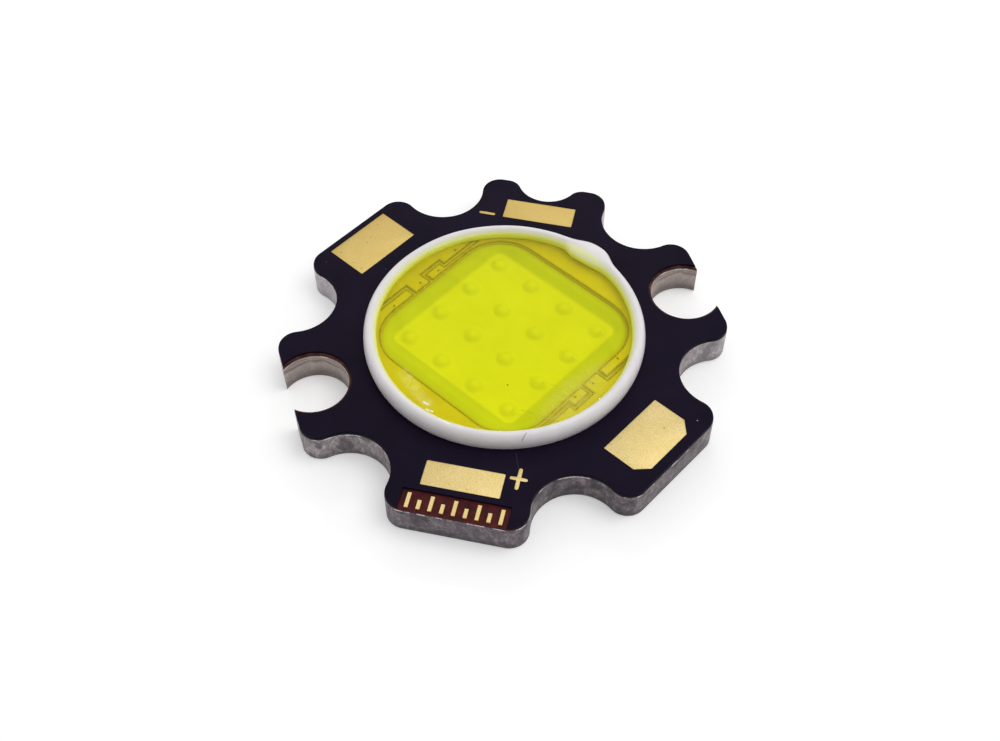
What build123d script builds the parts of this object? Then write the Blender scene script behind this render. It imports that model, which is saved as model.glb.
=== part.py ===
from build123d import *
import os
from math import cos, radians, sin, sqrt

# A chip-on-board LED on a small six-lobed metal-core board, in millimetres.
# +Z points away from the heatsink, and the origin is the centre of the board's underside.
# The lead pad of the plus side lies towards -Y, and that of the minus side towards +Y.

# Board outline: a hexagon with a round notch at each corner, an open screw slot in two opposite
# flats and one shallow notch in the far flat
lobe_count = 6
board_across_flats = 20.0
lobe_flat_length = 4.4356  # the straight edge that is left between two corner notches
corner_notch_setback = 1.547  # from the hexagon's corner in to the notch's centre
corner_lip_radius = 0.88
screw_direction = 30.0
screw_slot_setback = 1.10  # from the flat in to the screw's centre
screw_slot_radius = 1.6
edge_notch_direction = 90.0
edge_notch_outset = 0.40  # from the flat out to the notch's centre
edge_notch_radius = 1.49
edge_notch_lip_radius = 0.75

# Thickness of each layer of the board, from the underside up
core_thickness = 1.40
dielectric_thickness = 0.10
copper_thickness = 0.06
mask_over_copper = 0.04
plating_thickness = 0.02

# Reflector pocket: a square dish pressed into the core, with two of its sides towards the wide pads.
# Its corners reach out to a set distance from the middle of the dam's bead.
pocket_turn = -30.0
pocket_to_dam = 0.55
pocket_corner_radius = 2.0
pocket_slope_run = 0.95
pocket_floor_corner_radius = 0.25
pocket_depth = 0.30

# How far each layer stays back from the edges below it
mask_edge_margin = 0.03
mask_slot_margin = 0.12
copper_edge_margin = 0.20
copper_slot_margin = 0.50
copper_pocket_margin = 0.06

# Copper artwork: two nets outside, and inside the dam four plated fields parted by narrow gaps
net_gap = 0.40
field_gap = 0.12
jumper_under_dam = 0.215  # how far the jumpers run on under the dam, past the middle of its bead
jumper_to_net_gap = 0.20
jumper_arm_width = 0.275
bond_tab_width = 0.595
bond_tab_height = 1.10

# Lead pads on the far and near lobes, and wide pads on the other two plain lobes
lead_pad_length = 3.42
lead_pad_depth = 1.25
lead_pad_setback = 1.97  # from the flat in to the pad's middle, as for the wide pads
wide_pad_length = 3.50
wide_pad_depth = 2.16
wide_negative_pad_setback = 1.40
wide_positive_pad_setback = 1.57
wide_pad_chamfer = 0.54

# Polarity marks, each beside its lead pad and a little nearer the dam than the pad's middle
mark_stroke = 0.17
minus_mark_length = 0.80
minus_mark_aside = 2.50
minus_mark_inward = 0.54
plus_mark_width = 0.78
plus_mark_height = 1.10
plus_mark_aside = 2.28
plus_mark_inward = 0.51

# Window in the mask at the edge of the near lobe, with a row of plain ticks standing in it
tick_window_length = 4.65
tick_window_depth = 1.05
tick_window_margin = 0.15
tick_count = 9
tick_pitch = 0.50
tick_width = 0.16
long_tick_length = 0.72
short_tick_length = 0.44
tick_row_setback = 0.14  # from the flat in to the ticks' base line

# Silicone dam: a bead taller than wide, with a lump where its two ends meet
dam_setback = 3.915  # from the flat in to the middle of the bead
dam_width = 0.60
dam_bead_height = 1.00  # of the whole ellipse, whose lower part the board cuts off
dam_bead_middle = 0.32
lump_direction = 60.5
lump_outset = 0.125  # from the middle of the bead out to the lump's middle
lump_width = 1.28
lump_length = 2.24
lump_height = 0.88

# Fill inside the dam, measured from the top of the mask
fill_rim_height = 0.62
fill_crown_height = 0.78

# Dies, in rows that run along the pocket
die_rows = 4
die_to_slope = 0.25
die_width = 0.60
die_thickness = 0.12
attach_radius = 0.26
attach_thickness = 0.02

# Phosphor layer that lines the pocket and rises over each die
phosphor_thickness = 0.13
phosphor_dome_radius = 0.45
phosphor_dome_rise = 0.14

# Bond wires. Each row of dies starts and ends at a bond on the plated fields.
wire_diameter = 0.03
wire_loop_rise = 0.20
wire_bend_radius = 0.12
ball_radius = 0.05
ball_height = 0.02
die_bond_offset = 0.18
# Each row's first bond, far row first: its distance outside the pocket's edge, and how far it lies
# towards the far side from the row's own line
row_bonds = ((0.635, -0.845), (0.300, -0.345), (0.385, 0.555), (0.285, 0.735))

# Heights and places that follow from the sizes above
lobe_step = 360.0 / lobe_count
flat_distance = board_across_flats / 2
corner_notch_centre = flat_distance / cos(radians(lobe_step / 2)) - corner_notch_setback
lip_to_notch_across = corner_notch_centre * sin(radians(lobe_step / 2)) - lobe_flat_length / 2
lip_to_notch_out = corner_notch_centre * cos(radians(lobe_step / 2)) - flat_distance + corner_lip_radius
corner_notch_radius = sqrt(lip_to_notch_across**2 + lip_to_notch_out**2) - corner_lip_radius
screw_centre = flat_distance - screw_slot_setback
edge_notch_centre = flat_distance + edge_notch_outset
lead_pad_centre = flat_distance - lead_pad_setback
wide_negative_pad_centre = flat_distance - wide_negative_pad_setback
wide_positive_pad_centre = flat_distance - wide_positive_pad_setback
tick_row_distance = flat_distance - tick_row_setback
tick_window_inner_edge = flat_distance - tick_window_depth
dam_centre_radius = flat_distance - dam_setback
lump_centre_radius = dam_centre_radius + lump_outset
jumper_radius = dam_centre_radius + jumper_under_dam
pocket_corner_offset = dam_centre_radius - pocket_to_dam - pocket_corner_radius
pocket_width = sqrt(2) * pocket_corner_offset + 2 * pocket_corner_radius
pocket_floor_width = pocket_width - 2 * pocket_slope_run
die_pitch = (pocket_floor_width - die_width - 2 * die_to_slope) / (die_rows - 1)
pocket_floor = core_thickness - pocket_depth
dielectric_top = core_thickness + dielectric_thickness
copper_top = dielectric_top + copper_thickness
plating_top = copper_top + plating_thickness
mask_top = copper_top + mask_over_copper
die_bottom = pocket_floor + attach_thickness
die_top = die_bottom + die_thickness
mask_opening_radius = dam_centre_radius
net_inner_radius = jumper_radius + jumper_to_net_gap
negative_direction = pocket_turn + 180.0
positive_direction = pocket_turn
far_jumper_direction = pocket_turn + 90.0
near_jumper_direction = pocket_turn - 90.0
far_lobe = 90.0
near_lobe = -90.0
in_pocket_frame = Rot(0, 0, pocket_turn)
half_turn = Rot(0, 0, 180.0)


def at_lobe(direction, distance):
    """A place at a distance from the centre, facing out along a direction."""
    return Rot(0, 0, direction) * Pos(distance, 0)


def pad_place(direction, distance):
    """A pad's or mark's own frame on a lobe, with X along the board's edge."""
    return at_lobe(direction, distance) * Rot(0, 0, -90.0)


def layer(face, bottom, thickness):
    """A flat sheet over a face, from the height of its underside."""
    return extrude(Pos(0, 0, bottom) * face, thickness, dir=(0, 0, 1))


def farthest(faces, direction):
    """The face whose centre lies farthest along a direction."""
    toward = Vector(cos(radians(direction)), sin(radians(direction)))
    return Sketch() + max(faces, key=lambda face: face.center().dot(toward))


def star_face(edge_margin, slot_margin):
    """The board's outline, drawn in by one margin at its edges and by another at its screw slots."""
    half_width = flat_distance - edge_margin
    star = RegularPolygon(half_width, lobe_count, major_radius=False)
    corner_notch = Pos(corner_notch_centre, 0) * Circle(corner_notch_radius + edge_margin)
    for lobe in range(lobe_count):
        star -= Rot(0, 0, lobe * lobe_step) * corner_notch
    star = fillet(star.vertices(), corner_lip_radius - edge_margin)
    edge_notch_mouth = edge_notch_radius + edge_margin
    star -= at_lobe(edge_notch_direction, edge_notch_centre) * Circle(edge_notch_mouth)
    flat_middle = at_lobe(edge_notch_direction, half_width).position
    lips = star.vertices().sort_by_distance(flat_middle)[:2]
    star = fillet(lips, edge_notch_lip_radius - edge_margin)
    for direction in (screw_direction, screw_direction + 180.0):
        star -= at_lobe(direction, screw_centre) * Circle(screw_slot_radius + slot_margin)
    return star


def pocket_square(width, corner_radius):
    """A rounded square in the pocket's turned frame."""
    return in_pocket_frame * RectangleRounded(width, width, corner_radius)


# The pocket's space, from its floor up to the face of the core
pocket_space = loft(
    [
        Pos(0, 0, pocket_floor) * pocket_square(pocket_floor_width, pocket_floor_corner_radius),
        Pos(0, 0, core_thickness) * pocket_square(pocket_width, pocket_corner_radius),
    ],
    ruled=True,
)


def make_metal_core():
    """The punched aluminium board with its reflector pocket."""
    return layer(star_face(0, 0), 0, core_thickness) - pocket_space


def make_dielectric_layer():
    """The insulating film on the core, open over the pocket."""
    film = star_face(0, 0) - pocket_square(pocket_width, pocket_corner_radius)
    return layer(film, core_thickness, dielectric_thickness)


def gap_band(corners):
    """A gap between copper fields along straight runs that meet at square corners."""
    band = Sketch()
    for (x1, y1), (x2, y2) in zip(corners, corners[1:]):
        run = Rectangle(abs(x2 - x1) + field_gap, abs(y2 - y1) + field_gap)
        band += Pos((x1 + x2) / 2, (y1 + y2) / 2) * run
    return band


def copper_fields(radius):
    """The disc of copper round the pocket, parted into two bond fields and two jumper fields."""
    arm_line = -(pocket_width / 2 + jumper_arm_width + field_gap / 2)
    tab_line = -(pocket_width / 2 + bond_tab_width + field_gap / 2)
    inside = -pocket_floor_width / 2
    far_gap = gap_band(
        [
            (arm_line, radius),
            (arm_line, bond_tab_height),
            (tab_line, bond_tab_height),
            (tab_line, 0),
            (inside, 0),
        ]
    )
    near_gap = gap_band(
        [(inside, -bond_tab_height), (tab_line, -bond_tab_height), (tab_line, -radius)]
    )
    gaps = in_pocket_frame * (far_gap + near_gap)
    opening_width = pocket_width + 2 * copper_pocket_margin
    opening = pocket_square(opening_width, pocket_corner_radius + copper_pocket_margin)
    return (Circle(radius) - opening - gaps - half_turn * gaps).faces()


def tick_window(margin):
    """The window at the near lobe's edge, with an extra margin round it."""
    length = tick_window_length + 2 * margin
    depth = tick_window_depth + 2 * margin
    return pad_place(near_lobe, tick_window_inner_edge - margin + depth / 2) * Rectangle(length, depth)


def net_face(direction):
    """The outer copper of one net, joined under the dam to its bond field beside the pocket."""
    land = star_face(copper_edge_margin, copper_slot_margin) - Circle(net_inner_radius)
    land -= Rot(0, 0, screw_direction) * Rectangle(2 * board_across_flats, net_gap)
    land -= tick_window(tick_window_margin)
    bond_field = farthest(copper_fields(net_inner_radius + net_gap), direction)
    return farthest(land.faces(), direction) + bond_field


def minus_face():
    """The minus sign: one round-ended stroke beside the far lead pad."""
    place = pad_place(far_lobe, lead_pad_centre - minus_mark_inward) * Pos(-minus_mark_aside, 0)
    return place * SlotOverall(minus_mark_length, mark_stroke)


def cross_face():
    """The plus sign: two round-ended strokes that cross beside the near lead pad."""
    place = pad_place(near_lobe, lead_pad_centre - plus_mark_inward) * Pos(-plus_mark_aside, 0)
    upright = Rot(0, 0, 90.0) * SlotOverall(plus_mark_height, mark_stroke)
    return place * (SlotOverall(plus_mark_width, mark_stroke) + upright)


def wide_positive_face():
    """The wide pad of the plus side, with its two outer corners cut off."""
    pad = Rectangle(wide_pad_length, wide_pad_depth)
    outer_corners = pad.vertices().sort_by(Axis.Y)[-2:]
    pad = chamfer(outer_corners, wide_pad_chamfer)
    return pad_place(positive_direction, wide_positive_pad_centre) * pad


def tick_faces():
    """The row of plain ticks, long and short in turn, on one base line near the edge."""
    ticks = []
    for index in range(tick_count):
        length = short_tick_length if index % 2 else long_tick_length
        across = (index - (tick_count - 1) / 2) * tick_pitch
        place = pad_place(near_lobe, tick_row_distance - length / 2) * Pos(across, 0)
        ticks.append(place * Rectangle(tick_width, length))
    return ticks


# The four coppers, and the plated surfaces that show through windows in the mask
copper_faces = {
    "negative_copper": net_face(negative_direction),
    "positive_copper": net_face(positive_direction),
    "far_jumper_copper": farthest(copper_fields(jumper_radius), far_jumper_direction),
    "near_jumper_copper": farthest(copper_fields(jumper_radius), near_jumper_direction),
}
inside_dam_faces = {
    name.replace("copper", "bond_plating"): face & Circle(mask_opening_radius)
    for name, face in copper_faces.items()
}
lead_pad_face = Rectangle(lead_pad_length, lead_pad_depth)
window_faces = {
    "negative_pad": pad_place(far_lobe, lead_pad_centre) * lead_pad_face,
    "positive_pad": pad_place(near_lobe, lead_pad_centre) * lead_pad_face,
    "wide_negative_pad": pad_place(negative_direction, wide_negative_pad_centre)
    * Rectangle(wide_pad_length, wide_pad_depth),
    "wide_positive_pad": wide_positive_face(),
    "minus_mark": minus_face(),
    "plus_mark": cross_face(),
}


def make_solder_mask(coppers):
    """The black lacquer over the dielectric and the copper, open at pads, marks, ticks and dam."""
    openings = [Circle(mask_opening_radius), tick_window(0), *window_faces.values()]
    sheet = star_face(mask_edge_margin, mask_slot_margin)
    for opening in openings:
        sheet -= opening
    # where a pad is open, its copper lies bare, so the sheet is whole only above and beside the copper
    return layer(sheet, dielectric_top, mask_top - dielectric_top) - coppers


def make_silicone_dam(below):
    """The bead with its lump, down to whatever lies below it."""
    half_width = dam_width / 2
    half_height = dam_bead_height / 2
    foot_half_width = half_width * sqrt(1 - (dam_bead_middle / half_height) ** 2)
    bead = Pos(dam_centre_radius, mask_top + dam_bead_middle) * Ellipse(half_width, half_height)
    bead &= Pos(dam_centre_radius, mask_top + dam_bead_height / 2) * Rectangle(dam_width, dam_bead_height)
    foot_height = mask_top - dielectric_top
    foot = Rectangle(2 * foot_half_width, foot_height)
    foot = Pos(dam_centre_radius, dielectric_top + foot_height / 2) * foot
    ring = revolve(Plane.XZ * (bead + foot), Axis.Z)
    whole_lump = scale(Sphere(1), by=(lump_width / 2, lump_length / 2, lump_height))
    lump = split(whole_lump, bisect_by=Plane.XY.offset(-foot_height), keep=Keep.TOP)
    ring += at_lobe(lump_direction, lump_centre_radius) * Pos(0, 0, mask_top) * lump
    return ring - below


def die_place(row, column):
    """The middle of a die, in the pocket's frame, counted from the far row and from the minus side."""
    middle = (die_rows - 1) / 2
    return Vector((column - middle) * die_pitch, (middle - row) * die_pitch)


def make_led_die(row, column):
    """One die: a thin square chip."""
    x, y, _ = die_place(row, column)
    chip = Box(die_width, die_width, die_thickness, align=(Align.CENTER, Align.CENTER, Align.MIN))
    return in_pocket_frame * Pos(x, y, die_bottom) * chip


def make_die_attach():
    """The flat dots of adhesive under all the dies."""
    dot = Cylinder(attach_radius, attach_thickness, align=(Align.CENTER, Align.CENTER, Align.MIN))
    dots = []
    for row in range(die_rows):
        for column in range(die_rows):
            x, y, _ = die_place(row, column)
            dots.append(in_pocket_frame * Pos(x, y, pocket_floor) * dot)
    return dots


def row_end_bond(row):
    """Where a row's first wire starts, on the plated fields at the minus side."""
    outside, shift = row_bonds[row]
    along = die_place(row, 0).Y + shift
    return Vector(-(pocket_width / 2 + outside), along, plating_top)


def row_wire_points(row):
    """Pairs of bond points along one row, from the minus side to the plus side."""
    last_bond = row_end_bond(die_rows - 1 - row)
    start = row_end_bond(row)
    pairs = []
    for column in range(die_rows):
        middle = die_place(row, column) + Vector(0, 0, die_top)
        pairs.append((start, middle - Vector(die_bond_offset, 0)))
        start = middle + Vector(die_bond_offset, 0)
    pairs.append((start, Vector(-last_bond.X, -last_bond.Y, last_bond.Z)))
    return pairs


def make_wire(start, end):
    """One gold wire: up from its first ball, across, and down to its second."""
    loop_top = max(start.Z, end.Z) + wire_loop_rise
    above_start = Vector(start.X, start.Y, loop_top)
    above_end = Vector(end.X, end.Y, loop_top)
    path = FilletPolyline(start, above_start, above_end, end, radius=wire_bend_radius)
    wire = sweep(Plane(start, z_dir=(0, 0, 1)) * Circle(wire_diameter / 2), path)
    ball = Cylinder(ball_radius, ball_height, align=(Align.CENTER, Align.CENTER, Align.MIN))
    return in_pocket_frame * (wire + Pos(*start) * ball + Pos(*end) * ball)


def pocket_lining():
    """The lining of the pocket: the pocket's own shape, one thickness deep, with a dome over each die."""
    lining = pocket_space - Pos(0, 0, phosphor_thickness) * pocket_space
    cap_radius = (phosphor_dome_radius**2 + phosphor_dome_rise**2) / (2 * phosphor_dome_rise)
    dome_height = phosphor_thickness + phosphor_dome_rise
    dome = Cylinder(phosphor_dome_radius, dome_height, align=(Align.CENTER, Align.CENTER, Align.MIN))
    dome &= Pos(0, 0, dome_height - cap_radius) * Sphere(cap_radius)
    for row in range(die_rows):
        for column in range(die_rows):
            x, y, _ = die_place(row, column)
            lining += in_pocket_frame * Pos(x, y, pocket_floor) * dome
    return lining


def make_silicone_fill(dam, board_top, lining, wires):
    """The clear fill: nearly as high as the dam in the middle, and a little lower where it meets it."""
    crown_rise = fill_crown_height - fill_rim_height
    crown_radius = (dam_centre_radius**2 + crown_rise**2) / (2 * crown_rise)
    crown_top = mask_top + fill_crown_height
    blank = layer(Circle(dam_centre_radius), dielectric_top, crown_top - dielectric_top)
    crown = Pos(0, 0, crown_top - crown_radius) * Rot(90.0, 0, 0) * Sphere(crown_radius)
    pool = (blank & crown) - dam - board_top
    window = pocket_square(pocket_width, pocket_corner_radius)
    in_pocket = layer(window, core_thickness, dielectric_thickness) + pocket_space - lining
    return pool + in_pocket - wires


def build_parts():
    """Every piece by its node's name. A list is a group of like pieces in one node."""
    parts = {
        "metal_core": make_metal_core(),
        "dielectric_layer": make_dielectric_layer(),
    }
    coppers = {name: layer(face, dielectric_top, copper_thickness) for name, face in copper_faces.items()}
    platings = {name: layer(face, copper_top, plating_thickness) for name, face in inside_dam_faces.items()}
    parts.update(coppers)
    parts.update(platings)
    for name, face in window_faces.items():
        parts[name] = layer(face, copper_top, plating_thickness)
    tick_height = plating_top - dielectric_top
    parts["edge_ticks"] = [layer(face, dielectric_top, tick_height) for face in tick_faces()]
    parts["solder_mask"] = make_solder_mask(list(coppers.values()))
    board_top = [*coppers.values(), *platings.values()]
    parts["silicone_dam"] = make_silicone_dam([parts["solder_mask"], *board_top])

    dies = {}
    for row in range(die_rows):
        for column in range(die_rows):
            dies[f"led_die_{'abcd'[row]}{column + 1}"] = make_led_die(row, column)
    parts.update(dies)
    parts["die_attach"] = make_die_attach()
    wires = []
    for row in range(die_rows):
        row_wires = [make_wire(start, end) for start, end in row_wire_points(row)]
        parts[f"bond_wires_row_{'abcd'[row]}"] = row_wires
        wires += row_wires
    lining = pocket_lining()
    parts["phosphor_layer"] = lining - [*dies.values(), *parts["die_attach"], *wires]
    parts["silicone_fill"] = make_silicone_fill(parts["silicone_dam"], board_top, lining, wires)
    return parts


os.makedirs("parts", exist_ok=True)
for name, piece in build_parts().items():
    shape = Compound(children=piece) if isinstance(piece, list) else piece
    shape.label = name
    export_step(shape, f"parts/{name}.step")
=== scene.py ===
from math import acos, asin, atan2, cos, degrees, dist, exp, pi, radians, sin, sqrt

import bmesh
import bpy
import numpy as np
from mathutils import Matrix, Vector, noise
from mathutils.geometry import tessellate_polygon


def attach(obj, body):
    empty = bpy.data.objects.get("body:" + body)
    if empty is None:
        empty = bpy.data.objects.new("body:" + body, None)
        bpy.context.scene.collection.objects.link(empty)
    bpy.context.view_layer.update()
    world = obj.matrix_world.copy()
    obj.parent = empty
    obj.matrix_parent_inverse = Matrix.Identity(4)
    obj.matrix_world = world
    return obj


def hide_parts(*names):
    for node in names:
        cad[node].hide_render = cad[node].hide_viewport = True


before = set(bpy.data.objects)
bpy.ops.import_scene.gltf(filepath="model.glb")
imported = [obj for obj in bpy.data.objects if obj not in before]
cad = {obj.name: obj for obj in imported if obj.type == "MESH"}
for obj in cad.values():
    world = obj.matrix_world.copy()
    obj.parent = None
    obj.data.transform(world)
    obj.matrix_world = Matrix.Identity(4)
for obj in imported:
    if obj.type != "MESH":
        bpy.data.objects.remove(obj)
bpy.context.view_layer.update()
mm = 0.001


# Metal core
# The star is punched from aluminium sheet, so its walls show the die's drag marks and a rough broken
# band towards the back, and its top edge is drawn in a little. The reflector pocket is pressed into
# its face, and the heatsink side is plain.
core_top = 1.40
core_draw_in = 0.008
core_foot_round = 0.02
core_foot_height = 0.03
core_shoulder = 0.05
flat_distance = 10.0
lobe_directions = range(30, 390, 60)
notch_distance = 10.0
notch_radius = 1.94
notch_lip = 0.88
slot_directions = (30, 210)
slot_distance = 8.9
slot_radius = 1.6
slot_middle = (7.71, 4.45)
bite_direction = 90
bite_distance = 10.4
bite_radius = 1.49
bite_lip = 0.75
pocket_turn = -30.0
pocket_top_half = 4.5
pocket_top_corner = 2.0
pocket_floor_half = 3.55
pocket_floor_corner = 0.25
pocket_floor = 1.10
shadow_line_height = 1.27
burr_highlight_start = 0.9


def paint(red, green, blue):
    """A colour as it looks on a screen, from 0 to 255, as Blender's linear values."""
    linear = [((c / 255 + 0.055) / 1.055) ** 2.4 if c > 10 else c / 255 / 12.92 for c in (red, green, blue)]
    return (*linear, 1.0)


def new_node(tree, kind, inputs=(), **settings):
    """A node in a tree. An input is linked where a socket is given for it, and set where a value is."""
    node = tree.nodes.new(kind)
    for key, value in settings.items():
        setattr(node, key, value)
    for key, value in dict(inputs).items():
        if isinstance(value, bpy.types.NodeSocket):
            tree.links.new(value, node.inputs[key])
        else:
            node.inputs[key].default_value = value
    return node


class Shading:
    """A tree of shader nodes in the making."""

    def __init__(self, tree):
        self.tree = tree

    def add(self, kind, inputs=(), **settings):
        """A shader node of this kind."""
        return new_node(self.tree, "ShaderNode" + kind, inputs, **settings)

    def sums(self, operation, *values):
        return self.add("Math", dict(enumerate(values)), operation=operation).outputs["Value"]

    def most(self, *levels):
        """The highest of several levels, so masks are joined."""
        highest, *others = levels
        for level in others:
            highest = self.sums("MAXIMUM", highest, level)
        return highest

    def rays(self, *kinds):
        """1 for rays of these kinds, and 0 for others."""
        path = self.add("LightPath").outputs
        return self.most(*[path[f"Is {kind} Ray"] for kind in kinds])


class Finish(Shading):
    """A material in the making: its nodes, the place they read, and the shader they feed."""

    def __init__(self, name, **sockets):
        self.material = bpy.data.materials.new(name)
        self.material.use_nodes = True
        super().__init__(self.material.node_tree)
        self.shader = self.tree.nodes["Principled BSDF"]
        self.place = self.add("TexCoord").outputs["Object"]
        self.last_relief = None
        for socket, value in sockets.items():
            self.shader.inputs[socket.replace("_", " ")].default_value = value

    def feed(self, socket, source):
        self.tree.links.new(source, self.shader.inputs[socket])

    def stretched(self, x=1.0, y=1.0, z=1.0, turn=0.0):
        """The place read through a stretch or a turn, to draw a pattern out along one way."""
        inputs = {"Vector": self.place, "Scale": (x, y, z), "Rotation": (0, 0, radians(turn))}
        return self.add("Mapping", inputs).outputs["Vector"]

    def cloud(self, size, detail=4.0, roughness=0.55, place=None):
        """Soft blotches of about this size in millimetres."""
        inputs = {"Vector": place or self.place, "Scale": 1.0 / (size * mm)}
        inputs |= {"Detail": detail, "Roughness": roughness}
        return self.add("TexNoise", inputs).outputs["Fac"]

    def dots(self, size):
        """The distance to the nearest of many points strewn about this far apart, in millimetres."""
        inputs = {"Vector": self.place, "Scale": 1.0 / (size * mm)}
        return self.add("TexVoronoi", inputs).outputs["Distance"]

    def ramp(self, source, *stops):
        """Screen colours or levels against a value, each stop a place from 0 to 1 and what stands there."""
        node = self.add("ValToRGB", {"Fac": source})
        elements = node.color_ramp.elements
        while len(elements) < len(stops):
            elements.new(0.5)
        for element, (place, value) in zip(elements, stops):
            element.position = place
            element.color = paint(*value) if isinstance(value, tuple) else (value, value, value, 1.0)
        return node.outputs["Color"]

    def mottled(self, source, first, second):
        """Two screen colours that run into each other with a cloud."""
        return self.ramp(source, (0.3, first), (0.7, second))

    def blend(self, amount, first, second, way="MIX"):
        """Two colours, each a socket or a screen colour, mixed by an amount from 0 to 1."""
        first, second = (paint(*c) if isinstance(c, tuple) else c for c in (first, second))
        inputs = {"Factor": amount, 6: first, 7: second}
        return self.add("Mix", inputs, data_type="RGBA", blend_type=way).outputs[2]

    def base(self, tone):
        self.tone = tone
        self.feed("Base Color", tone)

    def over(self, mask, colour):
        """Lays a colour over the tone where the mask is high."""
        self.base(self.blend(mask, self.tone, colour))

    def times(self, first, second):
        """One colour or level times another, so two masks leave what lies in both."""
        return self.blend(1.0, first, second, "MULTIPLY")

    def vectors(self, operation, inputs, output="Value"):
        return self.add("VectorMath", inputs, operation=operation).outputs[output]

    def axis(self, name):
        """How far along X, Y or Z the place lies, in millimetres."""
        split = self.add("SeparateXYZ", {"Vector": self.place})
        return self.sums("MULTIPLY", split.outputs[name], 1.0 / mm)

    def flat(self):
        """The place without its height, in millimetres."""
        return self.add("CombineXYZ", {"X": self.axis("X"), "Y": self.axis("Y")}).outputs["Vector"]

    def near(self, x, y, radius, soft=0.5):
        """1 within a radius of a spot on the board, falling to 0 beyond it. All in millimetres."""
        inputs = {"Value": self.vectors("DISTANCE", {0: self.flat(), 1: (x, y, 0)})}
        inputs |= {"From Min": radius * (1 + soft), "From Max": radius * (1 - soft)}
        return self.add("MapRange", inputs, interpolation_type="SMOOTHSTEP").outputs["Result"]

    def near_slots(self, radius, soft):
        """1 within a radius of either screw slot's middle, falling to 0 beyond it."""
        x, y = slot_middle
        return self.most(self.near(x, y, radius, soft), self.near(-x, -y, radius, soft))

    def line(self, start, end, width):
        """1 on a fine straight line over the board between two spots, in millimetres."""
        span = (end[0] - start[0], end[1] - start[1], 0)
        length = sqrt(span[0] ** 2 + span[1] ** 2)
        away = self.vectors("SUBTRACT", {0: self.flat(), 1: (*start, 0)}, "Vector")
        along = self.vectors("DOT_PRODUCT", {0: away, 1: [c / length**2 for c in span]})
        share = self.add("Clamp", {"Value": along}).outputs["Result"]
        foot = self.vectors("SCALE", {0: span, "Scale": share}, "Vector")
        gap = self.vectors("DISTANCE", {0: away, 1: foot})
        return self.ramp(gap, (width * 0.3, 1.0), (width, 0.0))

    def patch(self, u, v, half_u, half_v):
        """1 in the middle of an oval beside the turned pocket, falling to 0 at its edge, in millimetres."""
        beside = self.add("SeparateXYZ", {"Vector": self.stretched(turn=-pocket_turn)})
        over = self.sums("MULTIPLY_ADD", beside.outputs["X"], 1 / mm / half_u, -u / half_u)
        up = self.sums("MULTIPLY_ADD", beside.outputs["Y"], 1 / mm / half_v, -v / half_v)
        away = self.sums("ADD", self.sums("MULTIPLY", over, over), self.sums("MULTIPLY", up, up))
        return self.ramp(away, (0.1, 1.0), (1.0, 0.0))

    def blotchy_patch(self, oval, size, *stops):
        """A patch broken up by blotches of a size, whose levels run through the stops."""
        return self.times(self.patch(*oval), self.ramp(self.cloud(size, detail=6), *stops))

    def relief(self, source, depth, strength):
        """Raises the surface where the source is high, by this many millimetres."""
        node = self.add("Bump", {"Height": source, "Distance": depth * mm, "Strength": strength})
        if self.last_relief:
            self.tree.links.new(self.last_relief, node.inputs["Normal"])
        self.last_relief = node.outputs["Normal"]
        self.feed("Normal", self.last_relief)


def arc(x, y, radius, start, end, step=2.5):
    """Points on a circle from one direction to another, in degrees."""
    count = max(2, int(abs(end - start) / step) + 2)
    directions = [radians(a) for a in np.linspace(start, end, count)]
    return [(x + radius * cos(a), y + radius * sin(a)) for a in directions]


def turned(points, angle):
    """Points turned about the board's centre."""
    c, s = cos(radians(angle)), sin(radians(angle))
    return [(x * c - y * s, x * s + y * c) for x, y in points]


def without_repeats(loop):
    """A closed run of points with those dropped that lie on the one before."""
    return [p for p, q in zip(loop, loop[-1:] + loop[:-1]) if abs(p[0] - q[0]) + abs(p[1] - q[1]) > 1e-5]


def star_outline(edge_margin, slot_margin):
    """The board's outline, anticlockwise, drawn in at its edges and at its screw slots."""
    flat = flat_distance - edge_margin
    notch = notch_radius + edge_margin
    lip = notch_lip - edge_margin
    notch_x, notch_y = notch_distance * cos(radians(30)), notch_distance * sin(radians(30))
    lip_y = notch_y - sqrt((notch + lip) ** 2 - (notch_x - flat + lip) ** 2)
    lip_turn = degrees(atan2(notch_y - lip_y, notch_x - flat + lip))
    outline = []
    for direction in lobe_directions:
        run = arc(flat - lip, -lip_y, lip, -lip_turn, 0)
        if direction in slot_directions:
            slot = slot_radius + slot_margin
            mouth = degrees(acos((flat - slot_distance) / slot))
            run += arc(slot_distance, 0, slot, 360 - mouth, mouth)
        if direction == bite_direction:
            bite = bite_radius + edge_margin
            edge = bite_lip - edge_margin
            edge_y = sqrt((bite + edge) ** 2 - (bite_distance - flat + edge) ** 2)
            edge_turn = degrees(atan2(edge_y, bite_distance - flat + edge))
            run += arc(flat - edge, -edge_y, edge, 0, edge_turn)
            run += arc(bite_distance, 0, bite, 180 + edge_turn, 180 - edge_turn)
            run += arc(flat - edge, edge_y, edge, -edge_turn, 0)
        run += arc(flat - lip, lip_y, lip, 0, lip_turn)
        run += arc(notch_x, notch_y, notch, 180 + lip_turn, 240 - lip_turn)
        outline += turned(run, direction)
    return without_repeats(outline)


def rounded_square(half, corner):
    """A rounded square in the pocket's turned frame, anticlockwise."""
    straight = half - corner
    loop = []
    for quarter in range(4):
        loop += turned(arc(straight, straight, corner, 0, 90, 6.0), 90 * quarter)
    return turned(loop, pocket_turn)


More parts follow.
